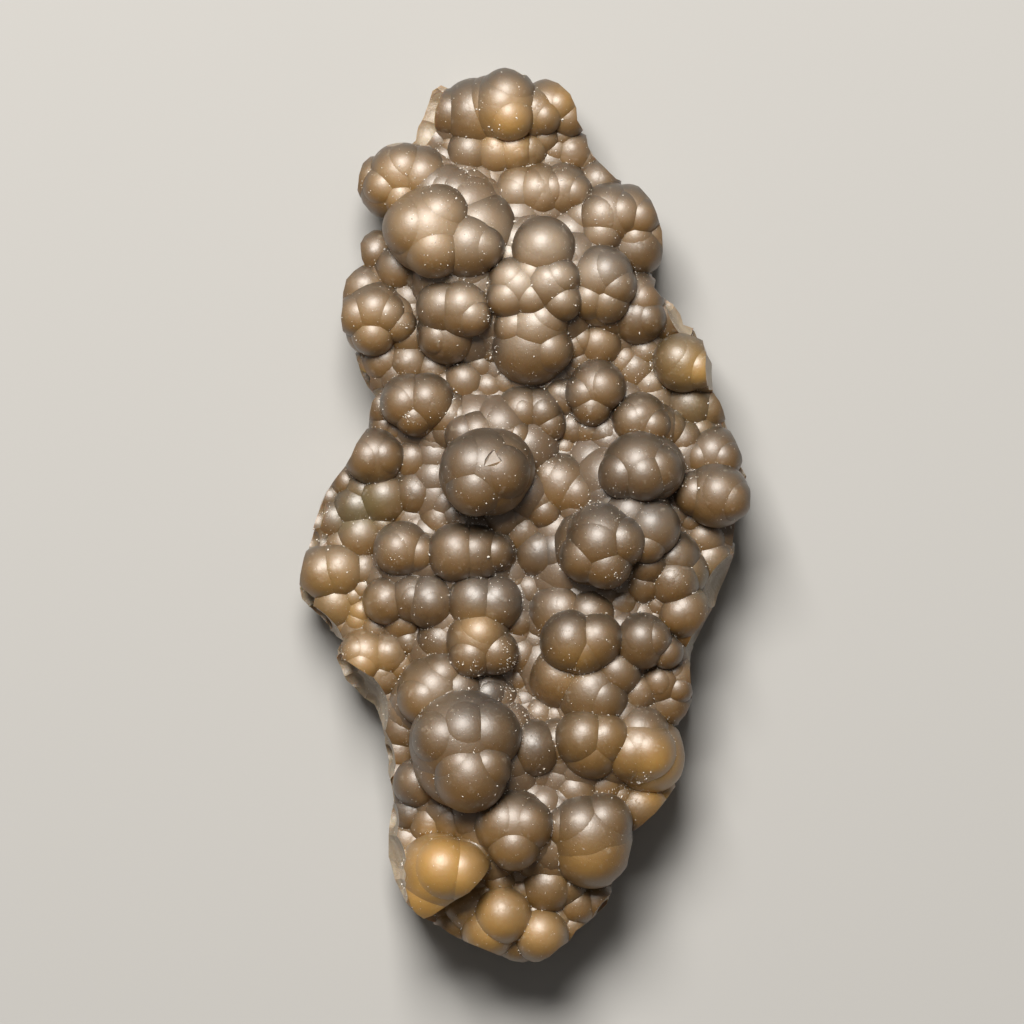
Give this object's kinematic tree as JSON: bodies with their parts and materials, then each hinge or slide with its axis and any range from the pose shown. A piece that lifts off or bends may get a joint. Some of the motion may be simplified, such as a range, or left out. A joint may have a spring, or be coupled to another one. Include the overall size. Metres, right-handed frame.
{
  "type": "chalcedony specimen",
  "caption": "Long flat piece of grape-like chalcedony crust: touching round honey-grey nodules of many sizes on a broken slab with a flat cut back.",
  "frame": {"origin": "centre of the plan, on the flat cut back that the piece rests on", "axes": "+Z out of the grown face, away from the cut back; +Y along the piece towards its narrow tip; +X to the right of that seen from above"},
  "size_m": [0.0504, 0.1, 0.0215],
  "materials": {
    "chalcedony": "satin to waxy, slightly translucent, honey brown to grey"
  },
  "bodies": {
    "root": {"chalcedony": "chalcedony"}
  },
  "joints": []
}
